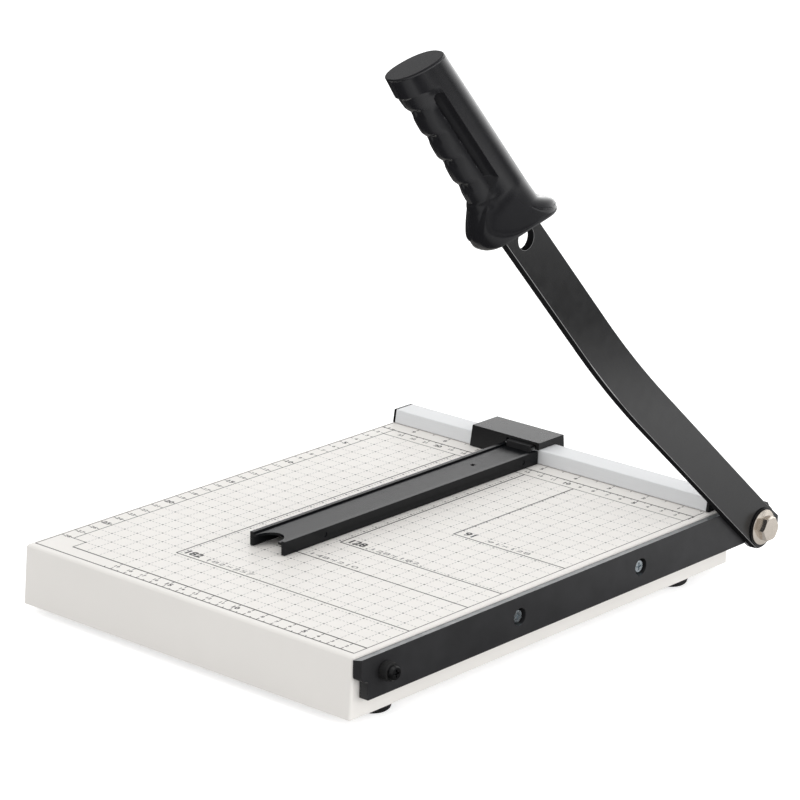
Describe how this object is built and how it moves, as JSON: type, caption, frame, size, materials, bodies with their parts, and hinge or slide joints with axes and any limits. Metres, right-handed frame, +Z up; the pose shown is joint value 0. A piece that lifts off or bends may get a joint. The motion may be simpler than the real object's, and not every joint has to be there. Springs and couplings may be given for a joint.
{
  "type": "paper trimmer",
  "caption": "Lever paper trimmer: folded steel board with rubber feet and a printed ruler, rear fence, sliding paper stop, bed knife and a raised blade arm with a moulded grip.",
  "frame": {"origin": "middle of the footprint box, on the plane that the feet stand on", "axes": "+X across the board from the paper side to the blade side, +Y from the front of the board to the fence and the pivot, +Z up"},
  "size_m": [0.2692, 0.3662, 0.3486],
  "materials": {
    "board_paint": "fine satin powder coat with a printed ruler",
    "knife_steel": "black satin, ground bare along the top edge",
    "arm_steel": "black satin coat, bright narrow bevel",
    "black_screws": "black oxide",
    "bright_bolt": "bright nickel plate",
    "zinc": "zinc plate",
    "strap_steel": "black satin",
    "fence_aluminium": "satin anodised",
    "black_plastic": "fine matt grain",
    "channel_plastic": "fine matt grain",
    "grip_plastic": "smooth satin",
    "rubber": "matt",
    "brass": "turned",
    "felt": "pressed felt"
  },
  "bodies": {
    "board": {"base_shell": "board_paint", "bed_knife": "knife_steel", "knife_screw_front": "zinc", "knife_screw_rear": "zinc", "knife_nut_front": "zinc", "knife_nut_rear": "zinc", "stop_sleeve": "rubber", "stop_screw": "black_screws", "stop_nut": "zinc", "fence_rail": "fence_aluminium", "fence_cap_left": "black_plastic", "fence_cap_right": "black_plastic", "fence_screw_1": "zinc", "fence_screw_2": "zinc", "fence_screw_3": "zinc", "foot_front_left": "rubber", "foot_front_right": "rubber", "foot_rear_left": "rubber", "foot_rear_right": "rubber", "foot_screw_front_left": "zinc", "foot_screw_front_right": "zinc", "foot_screw_rear_left": "zinc", "foot_screw_rear_right": "zinc", "foot_nut_front_left": "zinc", "foot_nut_front_right": "zinc", "foot_nut_rear_left": "zinc", "foot_nut_rear_right": "zinc", "pivot_bolt": "bright_bolt", "pivot_washer": "black_plastic", "pivot_disc_spring": "zinc", "pivot_nut": "zinc"},
    "paper_stop": {"guide_block": "black_plastic", "guide_channel": "channel_plastic", "guide_pad": "felt", "guide_pin_1": "zinc", "guide_pin_2": "zinc", "guide_rivet_1": "zinc", "guide_rivet_2": "zinc", "guide_strap": "strap_steel"},
    "blade_arm": {"cutter_arm": "arm_steel", "pivot_bush": "brass", "handle_grip": "grip_plastic", "handle_end_cap": "grip_plastic", "tang_pin": "zinc"}
  },
  "joints": [
    {"name": "arm_pivot", "type": "hinge", "parent": "board", "child": "blade_arm", "pos_m": [0.11991, 0.15965, 0.0251], "axis": [1, 0, 0], "range_deg": [-35, 40]},
    {"name": "stop_slide", "type": "slide", "parent": "board", "child": "paper_stop", "axis": [1, 0, 0], "range_m": [-0.06, 0.12]}
  ]
}
